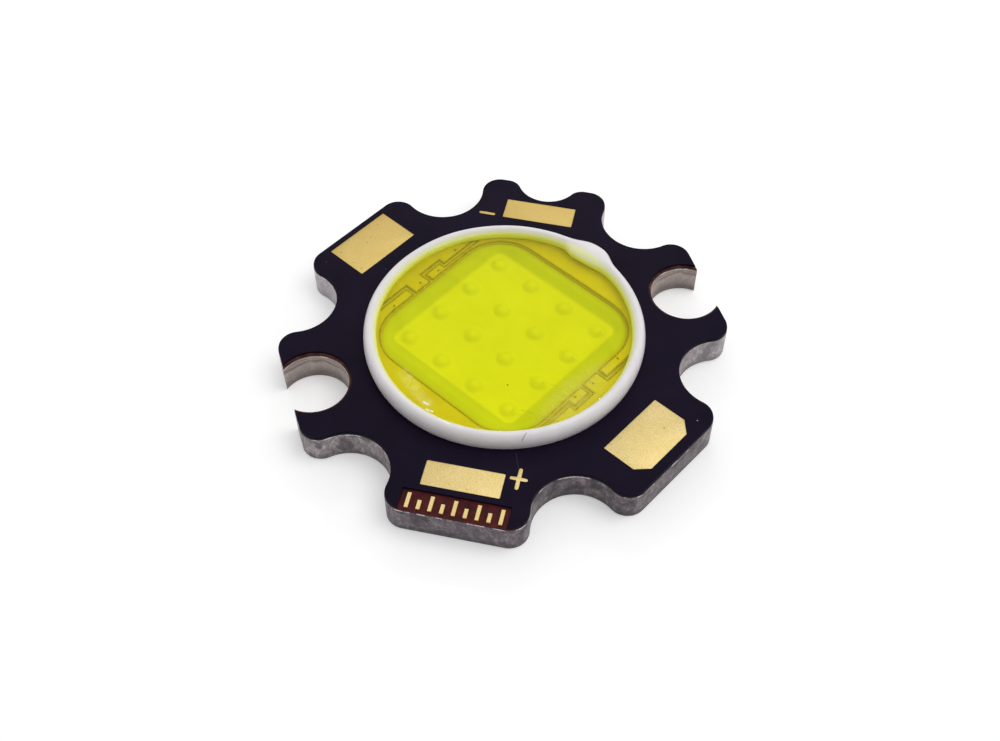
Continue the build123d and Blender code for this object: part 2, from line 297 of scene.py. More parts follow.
def drawn_in(loop, distance):
    """A closed run of points moved into the material on its left."""
    points = np.array(loop)
    ahead = np.roll(points, -1, 0) - points
    ahead /= np.linalg.norm(ahead, axis=1)[:, None]
    along = ahead + np.roll(ahead, 1, 0)
    along /= np.linalg.norm(along, axis=1)[:, None]
    reach = distance / np.clip((along * ahead).sum(1), 0.6, 1)
    return points + np.stack([-along[:, 1], along[:, 0]], 1) * reach[:, None]


class Shell:
    """A closed surface put together from rings of points, in millimetres."""

    def __init__(self):
        self.points = []
        self.faces = []

    def run(self, points):
        """Takes up some points, and says which numbers they have."""
        start = len(self.points)
        self.points += points
        return range(start, len(self.points))

    def ring(self, loop, height, margin=0.0):
        return self.run([(x, y, height) for x, y in drawn_in(loop, margin)])

    def wall(self, *rings):
        """Walls from each ring up to the next, facing right of the way the rings run."""
        for lower, upper in zip(rings, rings[1:]):
            count = len(lower)
            for i in range(count):
                j = (i + 1) % count
                self.faces.append((lower[i], lower[j], upper[j], upper[i]))

    def cap(self, *rings, up=True):
        """A flat lid over the first ring, open inside the others."""
        order = [i for ring in rings for i in ring]
        triangles = tessellate_polygon([[Vector(self.points[i]) for i in ring] for ring in rings])
        rise = 0.0
        for triangle in triangles:
            a, b, c = (Vector(self.points[order[i]]) for i in triangle)
            rise += (b - a).cross(c - a).z
        for triangle in triangles:
            corners = triangle if (rise > 0) == up else triangle[::-1]
            self.faces.append(tuple(order[i] for i in corners))

    def disc(self, rings, height=None, up=True):
        """A surface from a point on the axis, at the first ring's height or another, out to the last ring."""
        if height is None:
            height = self.points[rings[0][0]][2]
        (middle,) = self.run([(0, 0, height)])
        count = len(rings[0])
        faces = [(middle, rings[0][i], rings[0][(i + 1) % count]) for i in range(count)]
        for inner, outer in zip(rings, rings[1:]):
            for i in range(count):
                j = (i + 1) % count
                faces.append((inner[i], outer[i], outer[j], inner[j]))
        self.faces += faces if up else [face[::-1] for face in faces]

    def made(self, name, finish, slot, smooth_below=35.0):
        """The piece's object, riding on the board."""
        mesh = bpy.data.meshes.new(name)
        mesh.from_pydata((np.array(self.points) * mm).tolist(), [], self.faces)
        mesh.materials.append(finish.material)
        return placed(name, mesh, smooth_below)


def linked(name, data):
    """A new object in the scene."""
    thing = bpy.data.objects.new(name, data)
    bpy.context.scene.collection.objects.link(thing)
    return thing


def placed(name, mesh, smooth_below=35.0):
    """A finished mesh as an object that rides on the board."""
    mesh.validate()
    mesh.polygons.foreach_set("use_smooth", [True] * len(mesh.polygons))
    mesh.set_sharp_from_angle(angle=radians(smooth_below))
    piece = linked(name, mesh)
    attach(piece, "root")
    return piece


def punched_sheet(loops, levels):
    """A sheet with walls through it. Each level is a height and how far the edge is drawn in there."""
    shell = Shell()
    stacks = []
    for loop in loops:
        rings = [shell.ring(loop, height, margin) for height, margin in levels]
        shell.wall(*rings)
        stacks.append(rings)
    shell.cap(*[rings[-1] for rings in stacks])
    shell.cap(*[rings[0] for rings in stacks], up=False)
    return shell


metal = Finish("punched_aluminium", Metallic=0.5, Roughness=0.5, Specular_IOR_Level=0.4)
drag_marks = metal.cloud(0.30, detail=9, roughness=0.75, place=metal.stretched(1, 1, 0.6))
grain = metal.cloud(0.12, detail=9, roughness=0.9)
blotches = metal.cloud(0.8, detail=4)
metal.base(metal.ramp(drag_marks, (0.32, (96, 88, 92)), (0.5, (158, 149, 154)), (0.68, (222, 214, 218))))
metal.over(metal.ramp(grain, (0.46, 0.0), (0.58, 0.7)), (94, 86, 91))
metal.over(metal.ramp(grain, (0.36, 0.6), (0.44, 0.0)), (206, 200, 206))
height = metal.axis("Z")
lifted = metal.sums("MULTIPLY", height, 0.7)
ragged = metal.sums("ADD", lifted, metal.sums("MULTIPLY", blotches, 0.45))
unbroken = metal.ramp(ragged, (0.32, 0.0), (0.52, 1.0))
darkened = metal.blend(0.4, metal.tone, (70, 64, 70), "MULTIPLY")
metal.base(metal.blend(unbroken, darkened, metal.tone))
metal.over(metal.ramp(blotches, (0.52, 0.0), (0.62, 0.75)), (84, 76, 80))
slot_walls = metal.near_slots(2.0, 0.1)
slot_tone = metal.ramp(
    metal.sums("MULTIPLY_ADD", metal.sums("SUBTRACT", blotches, 0.5), 0.5, lifted),
    (0.15, (138, 126, 120)),
    (0.50, (190, 176, 168)),
    (0.66, (204, 190, 180)),
    (0.76, (136, 122, 116)),
    (0.86, (196, 182, 174)),
)
metal.over(metal.sums("MULTIPLY", slot_walls, 0.65), slot_tone)
toward_front = metal.sums("MULTIPLY", metal.axis("Y"), -0.1)
toward_front = metal.sums("MULTIPLY_ADD", metal.axis("X"), 0.04, toward_front)
# Painted shade: the metal is darkened towards the front of the board, standing in for the shade on its front
# faces.
painted_front_shade = metal.ramp(toward_front, (0.5, (255, 254, 252)), (0.8, (192, 186, 190)))
metal.base(metal.times(metal.tone, painted_front_shade))
# Painted light: away from the front, outside the screw slots, the metal is lightened to stand in for the
# light on its side and back faces.
painted_side_light = metal.blend(slot_walls, metal.ramp(toward_front, (0.0, 0.42), (0.35, 0.0)), (0, 0, 0))
metal.over(painted_side_light, (222, 216, 222))
# Painted shadow: a thin dark line runs round the screw slots' walls at this height.
slot_shadow_line = metal.sums("ABSOLUTE", metal.sums("SUBTRACT", height, shadow_line_height))
slot_shadow_line = metal.times(metal.ramp(slot_shadow_line, (0.0, 0.5), (0.04, 0.0)), slot_walls)
metal.over(slot_shadow_line, (96, 80, 76))
# Painted highlight: the burrs along the walls' top edge are lightened in patches, where the lamps would catch
# them.
burr_highlight = metal.ramp(metal.sums("SUBTRACT", height, burr_highlight_start), (0.44, 0.0), (0.475, 1.0))
burr_highlight = metal.times(burr_highlight, metal.ramp(metal.cloud(0.5, detail=5), (0.50, 0.0), (0.58, 1.0)))
metal.over(burr_highlight, (236, 230, 232))
metal.feed("Roughness", metal.ramp(grain, (0.2, 0.38), (0.8, 0.62)))
metal.relief(drag_marks, 0.03, 0.7)
metal.relief(grain, 0.02, 0.9)

core = Shell()
outline = star_outline(0, 0)
foot = core.ring(outline, 0.0, core_foot_round)
shoulder = core.ring(outline, core_top, core_draw_in)
core.wall(foot, core.ring(outline, core_foot_height), core.ring(outline, core_top - core_shoulder), shoulder)
pocket_mouth = rounded_square(pocket_top_half, pocket_top_corner)[::-1]
pocket_bed = rounded_square(pocket_floor_half, pocket_floor_corner)[::-1]
mouth_ring = core.ring(pocket_mouth, core_top)
bed_ring = core.ring(pocket_bed, pocket_floor)
core.wall(bed_ring, mouth_ring)
core.cap(shoulder, mouth_ring)
core.cap(bed_ring)
core.cap(foot, up=False)
metal_core = core.made("punched_metal_core", metal, "bare_aluminium")
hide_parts("metal_core")


# Dielectric
# A thin film of filled resin that bonds the copper to the core and keeps it insulated. It is brown,
# and shows as a rim round the screw slots, in the gaps of the copper and in the window at the near
# lobe, where the lacquer stops short of it.
dielectric_top = 1.50
film_draw_in = 0.012
under_fill = 6.2

resin = Finish("brown_resin_film", Roughness=0.42, Specular_IOR_Level=0.10)
resin_cloud = resin.cloud(0.35, detail=5)
resin_grain = resin.cloud(0.04, detail=6, roughness=0.7)
resin.base(resin.ramp(resin_cloud, (0.3, (50, 12, 16)), (0.5, (72, 18, 20)), (0.72, (92, 30, 26))))
resin.over(resin.ramp(resin_grain, (0.35, 0.0), (0.8, 0.5)), (44, 14, 18))
rim_tone = resin.ramp(resin_cloud, (0.4, (46, 24, 22)), (0.6, (84, 50, 40)), (0.72, (140, 84, 62)))
open_parts = resin.near_slots(1.9, 0.06)
resin.over(open_parts, rim_tone)
open_parts = resin.most(open_parts, resin.near(0.0, -10.3, 2.6, 0.08))
resin.base(resin.blend(open_parts, (20, 12, 16), resin.tone))
resin.over(resin.near(0, 0, under_fill, 0.01), (214, 196, 84))
resin.feed("Roughness", resin.ramp(resin_grain, (0.2, 0.35), (0.8, 0.55)))
resin.relief(resin_grain, 0.01, 0.5)

film = punched_sheet([outline, pocket_mouth], [(core_top, core_draw_in), (dielectric_top, film_draw_in)])
dielectric = film.made("brown_dielectric_film", resin, "brown_dielectric")
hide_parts("dielectric_layer")


# Copper and its plating
# The nets are etched from copper foil. Wherever the lacquer is open they are plated with gold, which
# has the fine matt grain of the etched copper under it. Under the fill, the gold stops a little short
# of each copper field's edge, which stays dull.
nets = ("negative", "positive", "far_jumper", "near_jumper")
copper_top = 1.56
plating_top = 1.58
plating_bevel_height = 0.006
plating_bevel = 0.010
clear_of_pads = 6.6
border_width = 0.09
weld_distance = 0.000001
flat_below = 0.5
lead_pad = (3.42, 1.25)
lead_pad_distance = 8.03
wide_pad = (3.50, 2.16)
wide_negative_distance = 8.60
wide_positive_distance = 8.43
pad_corner = 0.05
cut_corner = 0.54
mark_stroke = 0.17
minus_length = 0.80
minus_place = (-2.50, 7.49)
plus_size = (0.78, 1.10)
plus_place = (2.28, -7.52)


def dress(name, finish):
    """Gives a solid that stays as it is its finish."""
    materials = cad[name].data.materials
    materials.clear()
    materials.append(finish.material)


copper = Finish("etched_copper_foil", Metallic=1.0, Roughness=0.4)
copper_cloud = copper.cloud(0.08, detail=5)
copper.base(copper.mottled(copper_cloud, (150, 88, 52), (196, 128, 84)))
copper.over(copper.near(0, 0, under_fill, 0.01), (196, 176, 74))
copper.relief(copper_cloud, 0.004, 0.5)
for name in nets:
    dress(name + "_copper", copper)

gold = Finish("matt_gold_plating", Metallic=0.7, Roughness=0.6)
gold_grain = gold.cloud(0.035, detail=8, roughness=0.75)
gold_cloud = gold.cloud(1.1, detail=3)
# Painted light and shade: the gold is lighter towards the right and the front of the board and darker away
# from them, standing in for how the lamps fall on it.
lit_gold = gold.mottled(gold_cloud, (226, 208, 146), (236, 220, 164))
shaded_gold = gold.mottled(gold_cloud, (206, 180, 104), (214, 192, 120))
toward_front = gold.sums("MULTIPLY_ADD", gold.axis("X"), 0.03, 0.45)
toward_front = gold.sums("MULTIPLY_ADD", gold.axis("Y"), -0.05, toward_front)
gold.base(gold.blend(gold.ramp(toward_front, (0.2, 0.0), (0.8, 1.0)), shaded_gold, lit_gold))
gold.over(gold.ramp(gold_grain, (0.42, 0.0), (0.60, 1.0)), (196, 166, 94))
pits = gold.ramp(gold.dots(0.42), (0.05, 1.0), (0.13, 0.0))
pits = gold.times(pits, gold.ramp(gold.cloud(0.9, detail=2), (0.48, 0.0), (0.56, 1.0)))
gold.over(pits, (168, 136, 70))
under_gel = gold.mottled(gold_cloud, (197, 179, 50), (207, 192, 56))
under_gel = gold.blend(gold.ramp(gold_grain, (0.35, 0.0), (0.75, 0.4)), under_gel, (186, 166, 46))
# A pale mottled patch lies on the gold at the pocket's right.
pale_patch = gold.blotchy_patch((4.8, -0.4, 0.8, 2.8), 0.3, (0.40, 0.1), (0.62, 0.65))
under_gel = gold.blend(pale_patch, under_gel, (204, 196, 120))
gold.over(gold.near(0, 0, clear_of_pads, 0.01), under_gel)
gold.feed("Roughness", gold.ramp(gold_grain, (0.2, 0.50), (0.8, 0.68)))
gold.relief(gold_grain, 0.006, 0.6)

dull = Finish("dull_copper_border", Metallic=0.3, Roughness=0.6)
dull_cloud = dull.cloud(0.12, detail=5)
dull.base(dull.mottled(dull_cloud, (136, 124, 42), (178, 162, 50)))
dull.relief(dull_cloud, 0.004, 0.5)
for name in nets:
    field = bmesh.new()
    field.from_mesh(cad[name + "_bond_plating"].data)
    bmesh.ops.remove_doubles(field, verts=field.verts, dist=weld_distance)
    bmesh.ops.dissolve_limit(field, angle_limit=radians(flat_below), verts=field.verts, edges=field.edges)
    tops = [face for face in field.faces if face.normal.z > 0.9]
    border = bmesh.ops.inset_region(
        field, faces=tops, thickness=border_width * mm, use_even_offset=True, use_boundary=True
    )
    for face in border["faces"]:
        face.material_index = 1
    mesh = bpy.data.meshes.new(name + "_gold_field")
    field.to_mesh(mesh)
    field.free()
    mesh.materials.append(gold.material)
    mesh.materials.append(dull.material)
    piece = placed(name + "_gold_field", mesh)
    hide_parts(name + "_bond_plating")


def rectangle(width, depth, cut=0.0):
    """A rectangle about the origin with slightly round corners. A cut takes off its two far corners."""
    x, y = width / 2, depth / 2
    u, v = x - pad_corner, y - pad_corner
    loop = arc(-u, -v, pad_corner, 180, 270, 30) + arc(u, -v, pad_corner, 270, 360, 30)
    if cut:
        return loop + [(x, y - cut), (x - cut, y), (cut - x, y), (-x, y - cut)]
    return loop + arc(u, v, pad_corner, 0, 90, 30) + arc(-u, v, pad_corner, 90, 180, 30)


def on_lobe(loop, direction, distance):
    """Points drawn with Y towards the board's edge, set on a lobe."""
    return turned([(x, y + distance) for x, y in loop], direction - 90)


def moved(loop, x, y):
    return [(px + x, py + y) for px, py in loop]


def stroke(length):
    """A straight stroke with round ends."""
    end = mark_stroke / 2
    return arc(length / 2 - end, 0, end, -90, 90, 15) + arc(end - length / 2, 0, end, 90, 270, 15)


def crossed_strokes(width, height):
    """Two strokes that cross, as one outline. Its inner corners stand a little off the strokes' sides."""
    end = mark_stroke / 2
    loop = []
    for quarter, length in enumerate((width, height, width, height)):
        tip = arc(length / 2 - end, 0, end, -90, 90, 15) + [(1.06 * end, 1.06 * end)]
        loop += turned(tip, 90 * quarter)
    return loop


pads = {
    "negative_pad": on_lobe(rectangle(*lead_pad), 90, lead_pad_distance),
    "positive_pad": on_lobe(rectangle(*lead_pad), 270, lead_pad_distance),
    "wide_negative_pad": on_lobe(rectangle(*wide_pad), 150, wide_negative_distance),
    "wide_positive_pad": on_lobe(rectangle(*wide_pad, cut=cut_corner), 330, wide_positive_distance),
    "minus_mark": moved(stroke(minus_length), *minus_place),
    "plus_mark": moved(crossed_strokes(*plus_size), *plus_place),
}
for name, loop in pads.items():
    levels = [(copper_top, 0.0), (plating_top - plating_bevel_height, 0.0), (plating_top, plating_bevel)]
    piece = punched_sheet([loop], levels).made("gold_" + name, gold, "gold_plating")
    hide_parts(name)


# Edge ticks
# A row of plain plated strokes in the window at the near lobe's edge, etched with the rest of the
# copper and left free of lacquer. Long and short ones stand in turn on one base line.
tick_count = 9
tick_pitch = 0.50
tick_width = 0.16
long_tick = 0.72
short_tick = 0.44
tick_line = -9.86


def node_tree(name, sockets):
    """An empty tree of geometry nodes with named inputs, and its input and output nodes."""
    tree = bpy.data.node_groups.new(name, "GeometryNodeTree")
    tree.interface.new_socket("Geometry", in_out="INPUT", socket_type="NodeSocketGeometry")
    for label, kind in sockets.items():
        tree.interface.new_socket(label, in_out="INPUT", socket_type="NodeSocket" + kind)
    tree.interface.new_socket("Geometry", in_out="OUTPUT", socket_type="NodeSocketGeometry")
    return tree, tree.nodes.new("NodeGroupInput").outputs, tree.nodes.new("NodeGroupOutput").inputs


def geo_node(kind, inputs=()):
    """A geometry node of the tree that is being built."""
    return new_node(tree, "GeometryNode" + kind, inputs).outputs[0]


def geo_sum(operation, *values):
    return new_node(tree, "ShaderNodeMath", dict(enumerate(values)), operation=operation).outputs[0]


def geo_vector(x=0.0, y=0.0, z=0.0):
    return new_node(tree, "ShaderNodeCombineXYZ", {"X": x, "Y": y, "Z": z}).outputs[0]


def joined(*parts):
    """Several geometries of the tree that is being built, as one."""
    node = tree.nodes.new("GeometryNodeJoinGeometry")
    for part in parts:
        tree.links.new(part, node.inputs[0])
    return node.outputs[0]


def grown(name, data, values, smooth_below=35.0):
    """The plain mesh that the tree makes from a mesh or a curve, as a piece of the board."""
    carrier = linked(name + "_carrier", data)
    modifier = carrier.modifiers.new(name, "NODES")
    modifier.node_group = tree
    for item in tree.interface.items_tree:
        if item.in_out == "INPUT" and item.name in values:
            modifier[item.identifier] = values[item.name]
    depsgraph = bpy.context.evaluated_depsgraph_get()
    depsgraph.update()
    mesh = bpy.data.meshes.new_from_object(carrier.evaluated_get(depsgraph))
    mesh.name = name
    bpy.data.objects.remove(carrier)
    return placed(name, mesh, smooth_below)


tick_sizes = {
    "Line": tick_line * mm,
    "Floor": dielectric_top * mm,
    "Pitch": tick_pitch * mm,
    "Width": tick_width * mm,
    "Long": long_tick * mm,
    "Short": short_tick * mm,
    "Height": (plating_top - dielectric_top) * mm,
}
tree, given, result = node_tree(
    "tick_row", {"Count": "Int"} | {label: "Float" for label in tick_sizes} | {"Finish": "Material"}
)
along = geo_vector(x=given["Pitch"])
half_row = geo_sum("ADD", given["Count"], -1.0)
half_row = geo_sum("MULTIPLY", half_row, -0.5)
half_row = geo_sum("MULTIPLY", half_row, given["Pitch"])
row_start = geo_vector(x=half_row, y=given["Line"], z=given["Floor"])
row_inputs = {"Count": given["Count"], "Start Location": row_start, "Offset": along}
spots = geo_node("MeshLine", row_inputs)
sides = {"Width": given["Width"], "Height": given["Long"]}
tick_outline = geo_node("CurvePrimitiveQuadrilateral", sides)
onto_line = geo_vector(y=geo_sum("MULTIPLY", given["Long"], 0.5))
tick_outline = geo_node("SetPosition", {"Geometry": tick_outline, "Offset": onto_line})
plate = geo_node("FillCurve", {"Curve": tick_outline})
extrusion = {"Mesh": plate, "Offset Scale": given["Height"], "Individual": False}
block = joined(
    geo_node("ExtrudeMesh", extrusion),
    geo_node("FlipFaces", {"Mesh": plate}),
)
block = geo_node("MergeByDistance", {"Geometry": block, "Distance": weld_distance})
odd = geo_sum("MODULO", geo_node("InputIndex"), 2.0)
shrink = geo_sum("DIVIDE", given["Short"], given["Long"])
shrink = geo_sum("ADD", shrink, -1.0)
shrink = geo_sum("MULTIPLY_ADD", odd, shrink, 1.0)
sizes = geo_vector(x=1.0, y=shrink, z=1.0)
row = geo_node("InstanceOnPoints", {"Points": spots, "Instance": block, "Scale": sizes})
row = geo_node("RealizeInstances", {"Geometry": row})
row = geo_node("SetMaterial", {"Geometry": row, "Material": given["Finish"]})
tree.links.new(row, result[0])

ticks = grown(
    "gold_edge_ticks",
    bpy.data.meshes.new("tick_carrier"),
    {"Count": tick_count} | tick_sizes | {"Finish": gold.material},
)
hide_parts("edge_ticks")


# Solder mask
# Black lacquer printed over the board, open over the pads and marks, at the near lobe's ticks and
# inside the dam. It dries satin, with a faint violet cast, fine orange peel and soft round edges, and
# dust settles on it.
mask_foot = 1.502
mask_top = 1.60
mask_edge_margin = 0.03
mask_slot_margin = 0.12
mask_bevel_height = 0.012
mask_bevel = 0.014
mask_opening = 6.085
tick_window = (-2.35, 2.30, -8.95)
shortest_edge = 0.05

lacquer = Finish("black_violet_lacquer", Roughness=0.42, Specular_IOR_Level=0.04)
peel = lacquer.cloud(0.22, detail=3)
fine_peel = lacquer.cloud(0.05, detail=5, roughness=0.65)
lacquer.base(lacquer.mottled(lacquer.cloud(2.6, detail=3), (15, 9, 24), (23, 15, 34)))
lacquer.over(lacquer.ramp(fine_peel, (0.45, 0.0), (0.85, 0.5)), (38, 30, 50))
dust = lacquer.ramp(lacquer.dots(0.95), (0.012, 1.0), (0.03, 0.0))
dust = lacquer.times(dust, lacquer.ramp(lacquer.cloud(1.7, detail=2), (0.50, 0.0), (0.60, 0.55)))
dust = lacquer.blend(1.0, dust, lacquer.near(9.2, -2.9, 0.022), "LIGHTEN")
lacquer.over(dust, (205, 200, 205))
hair = lacquer.sums("MULTIPLY", lacquer.line((1.90, -6.30), (2.20, -7.09), 0.03), 0.05)
lacquer.over(hair, (170, 158, 170))
lacquer.feed("Roughness", lacquer.ramp(peel, (0.25, 0.36), (0.75, 0.50)))
lacquer.relief(peel, 0.004, 0.35)
lacquer.relief(fine_peel, 0.002, 0.35)


def with_tick_window(loop):
    """An outline whose near lobe is cut back square to the window's three sides."""
    left, right, inner = tick_window
    inside = [y < inner and left < x < right for x, y in loop]
    first = next(i for i in range(len(loop)) if inside[i] and not inside[i - 1])
    loop = loop[first:] + loop[:first]
    kept = [p for p in loop if not (p[1] < inner and left < p[0] < right)]
    before, after = kept[-1], kept[0]
    enter = (left, before[1] + (loop[0][1] - before[1]) * (left - before[0]) / (loop[0][0] - before[0]))
    last = loop[len(loop) - len(kept) - 1]
    leave = (right, after[1] + (last[1] - after[1]) * (right - after[0]) / (last[0] - after[0]))
    kept = [p for p in kept if min(dist(p, enter), dist(p, leave)) > shortest_edge]
    return kept + [enter, (left, inner), (right, inner), leave]


lacquer_outline = with_tick_window(star_outline(mask_edge_margin, mask_slot_margin))
dam_circle = arc(0, 0, mask_opening, 360, 2.5)
openings = [loop[::-1] for loop in pads.values()]
levels = [(mask_foot, 0.0), (mask_top - mask_bevel_height, 0.0), (mask_top, mask_bevel)]
mask = punched_sheet([lacquer_outline, dam_circle] + openings, levels)
solder_mask = mask.made("black_solder_mask", lacquer, "black_solder_mask")
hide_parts("solder_mask")


# Dies and their adhesive
# Sixteen small sapphire chips stand on the pocket's floor, each on a flat dot of clear adhesive. They
# are buried in the phosphor, and only the soft swell over each one shows.
chip = Finish("sapphire_chip", Roughness=0.12, Specular_IOR_Level=0.6)
fingers = chip.cloud(0.05, detail=2)
chip.base(chip.ramp(fingers, (0.4, (170, 178, 186)), (0.6, (205, 210, 214))))
chip.relief(chip.cloud(0.03, detail=3), 0.001, 0.4)
adhesive = Finish("clear_die_adhesive", Roughness=0.25)
adhesive.base(adhesive.mottled(adhesive.cloud(0.06), (196, 192, 180), (222, 220, 210)))
dress("die_attach", adhesive)
for name in cad:
    if name.startswith("led_die"):
        dress(name, chip)


# Phosphor
# Silicone loaded with yellow phosphor powder, dispensed into the pocket. It levels out over the
# floor, thins up the slopes and swells softly over each chip.
phosphor_depth = 0.13
foot_rise = 0.035
foot_width = 0.16
brim = 0.012
under_bed = 0.002
swell_radius = 0.45
swell_rise = 0.14
die_pitch = 2.0
floor_steps = 64
slope_steps = 16
side_points = 110
corner_points = 12

phosphor = Finish("yellow_phosphor_gel", Roughness=0.6, Specular_IOR_Level=0.2)
powder = phosphor.cloud(0.06, detail=6, roughness=0.7)
drift = phosphor.cloud(1.6, detail=4)
on_slope = phosphor.add("Attribute", attribute_name="slope").outputs["Fac"]
flank_shade = phosphor.add("Attribute", attribute_name="flank").outputs["Fac"]
floor_tone = phosphor.mottled(drift, (232, 228, 124), (238, 234, 134))
slope_tone = phosphor.mottled(drift, (204, 206, 92), (212, 213, 100))
phosphor.base(phosphor.blend(phosphor.ramp(on_slope, (0.0, 0.0), (0.16, 1.0)), floor_tone, slope_tone))
phosphor.over(phosphor.ramp(on_slope, (0.80, 0.0), (1.0, 0.5)), (176, 176, 80))
# Painted shade: each swell is darkened on its flanks, standing in for the shading of its sides.
phosphor.over(phosphor.sums("MULTIPLY", flank_shade, 0.26), (200, 206, 90))
phosphor.over(phosphor.ramp(powder, (0.3, 0.0), (0.8, 0.25)), (210, 208, 100))
# A pale mottled patch lies on the phosphor at the pocket's right.
pale_patch = phosphor.blotchy_patch((4.3, -0.4, 0.75, 2.6), 0.3, (0.40, 0.1), (0.62, 0.6))
phosphor.over(pale_patch, (222, 214, 150))
phosphor.over(phosphor.near(0.77, -2.79, 0.035, 0.3), (60, 66, 14))
phosphor.relief(powder, 0.004, 0.3)


def swell(u, v):
    """How far the surface rises over the nearest chip."""
    du = abs(u) % die_pitch - die_pitch / 2
    dv = abs(v) % die_pitch - die_pitch / 2
    if max(abs(u), abs(v)) > 2 * die_pitch:
        return 0.0
    away = sqrt(du * du + dv * dv) / swell_radius
    return swell_rise * max(0.0, 1 - away * away) ** 1.1


def even_square(half, corner):
    """A rounded square in the pocket's own frame, with the same number of points whatever its size."""
    straight = half - corner
    loop = []
    for quarter in range(4):
        side = [(half, straight * (2 * i / side_points - 1)) for i in range(side_points)]
        bend = arc(straight, straight, corner, 0, 90, 90 / corner_points)[: corner_points + 1]
        loop += turned(side + bend, 90 * quarter)
    return loop


def pocket_ring(step):
    """One ring over the floor for steps up to 1, and on the slope from 1 to 2."""
    slope = max(0.0, step - 1)
    half = pocket_floor_half * min(step, 1) + (pocket_top_half - pocket_floor_half) * slope
    corner = pocket_floor_corner * min(step, 1) + (pocket_top_corner - pocket_floor_corner) * slope
    return even_square(half, corner), slope, pocket_floor + (core_top - pocket_floor) * slope


lining = Shell()
slopes = []
flanks = []
top_rings = []
steps = [i / floor_steps for i in range(1, floor_steps + 1)]
steps += [1 + i / slope_steps for i in range(1, slope_steps + 1)]
for step in steps:
    loop, slope, bed = pocket_ring(step)
    soft_foot = foot_rise * exp(-(((step - 1.0) / foot_width) ** 2))
    ring = []
    for (u, v), (x, y) in zip(loop, turned(loop, pocket_turn)):
        top = bed + phosphor_depth + soft_foot + swell(u, v)
        ring.append((x, y, min(top, core_top + brim)))
        rise = swell(u, v) / swell_rise
        slopes.append(slope)
        flanks.append(4 * rise * (1 - rise))
    top_rings.append(lining.run(ring))
bed_rings = []
for step in (1, 2):
    loop, slope, bed = pocket_ring(step)
    bed_rings.append(lining.ring(turned(loop, pocket_turn), bed - under_bed))
lining.disc(top_rings)
lining.disc(bed_rings, up=False)
lining.wall(bed_rings[-1], top_rings[-1])
phosphor_layer = lining.made("yellow_phosphor_layer", phosphor, "yellow_phosphor", 60)
for name, values in (("slope", slopes), ("flank", flanks)):
    layer = phosphor_layer.data.attributes.new(name, "FLOAT", "POINT")
    layer.data.foreach_set("value", values + [0.0] * (len(lining.points) - len(values)))
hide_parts("phosphor_layer")


# Bond wires
# Fine gold wire joins the chips of each row to one another and to the plated fields at its two ends.
# Each wire starts and ends in a pressed ball. Between the chips it lies low, inside the phosphor.
wire_radius = 0.015
wire_rise = 0.20
chip_wire_rise = -0.015
wire_slack = 0.03
wire_landing = 0.1
wire_sides = 8
ball_radius = 0.05
ball_flatness = 0.4
ball_sides = 12
chip_top = pocket_floor + 0.14
chip_bond = 0.18
row_bonds = ((0.635, 2.155), (0.300, 0.655), (0.385, -0.445), (0.285, -2.265))

wire = Finish("gold_wire_in_gel", Roughness=0.35)
row_frame = wire.add("SeparateXYZ", {"Vector": wire.stretched(turn=-pocket_turn)})
along_row = wire.sums("MULTIPLY", wire.sums("ABSOLUTE", row_frame.outputs["X"]), 0.1 / mm)
in_pocket = wire.ramp(along_row, (0.445, 1.0), (0.455, 0.0))
wire.base(wire.mottled(wire.cloud(0.05, detail=3), (196, 178, 60), (208, 190, 70)))
at_ball = wire.ramp(wire.sums("MULTIPLY", wire.axis("Z"), 0.5), (0.800, 1.0), (0.812, 0.0))
wire.over(at_ball, (110, 92, 30))
coated = wire.ramp(along_row, (0.350, (240, 236, 136)), (0.365, (206, 208, 96)))
wire.over(in_pocket, coated)
wire.feed("Metallic", wire.ramp(in_pocket, (0.0, 0.5), (1.0, 0.0)))

wire_sizes = {"Radius": wire_radius * mm, "Ball": ball_radius * mm, "Flatness": ball_flatness}
tree, given, result = node_tree(
    "looped_wires", {label: "Float" for label in wire_sizes} | {"Finish": "Material"}
)
paths = given["Geometry"]
profile = geo_node("CurvePrimitiveCircle", {"Resolution": wire_sides, "Radius": given["Radius"]})
tubes = geo_node("CurveToMesh", {"Curve": paths, "Profile Curve": profile, "Fill Caps": True})
ends = geo_node("CurveEndpointSelection", {"Start Size": 1, "End Size": 1})
ball_inputs = {"Segments": ball_sides, "Rings": ball_sides // 2, "Radius": given["Ball"]}
ball = geo_node("MeshUVSphere", ball_inputs)
pressed = geo_vector(x=1.0, y=1.0, z=given["Flatness"])
spread = {"Points": paths, "Selection": ends, "Instance": ball, "Scale": pressed}
balls = geo_node("InstanceOnPoints", spread)
whole = geo_node("RealizeInstances", {"Geometry": joined(tubes, balls)})
whole = geo_node("SetMaterial", {"Geometry": whole, "Material": given["Finish"]})
tree.links.new(whole, result[0])


def wire_path(curve, start, end):
    """Draws one wire's loop from bond to bond, each a place in the pocket's frame and a height."""
    (u1, v1, z1), (u2, v2, z2) = start, end
    loop_top = max(z1, z2) + (chip_wire_rise if z1 == z2 else wire_rise)
    rising = [(0.0, z1), (0.0, z1 + 0.6 * (loop_top - z1)), (0.12, loop_top)]
    falling = [(0.75, loop_top - wire_slack), (1.0, z2 + wire_landing), (1.0, z2)]
    spline = curve.splines.new("NURBS")
    spline.points.add(len(rising + falling) - 1)
    for point, (share, z) in zip(spline.points, rising + falling):
        spot = (u1 + share * (u2 - u1), v1 + share * (v2 - v1))
        x, y = turned([spot], pocket_turn)[0]
        point.co = (x * mm, y * mm, z * mm, 1.0)
    spline.order_u = 3
    spline.use_endpoint_u = True
    spline.resolution_u = 4


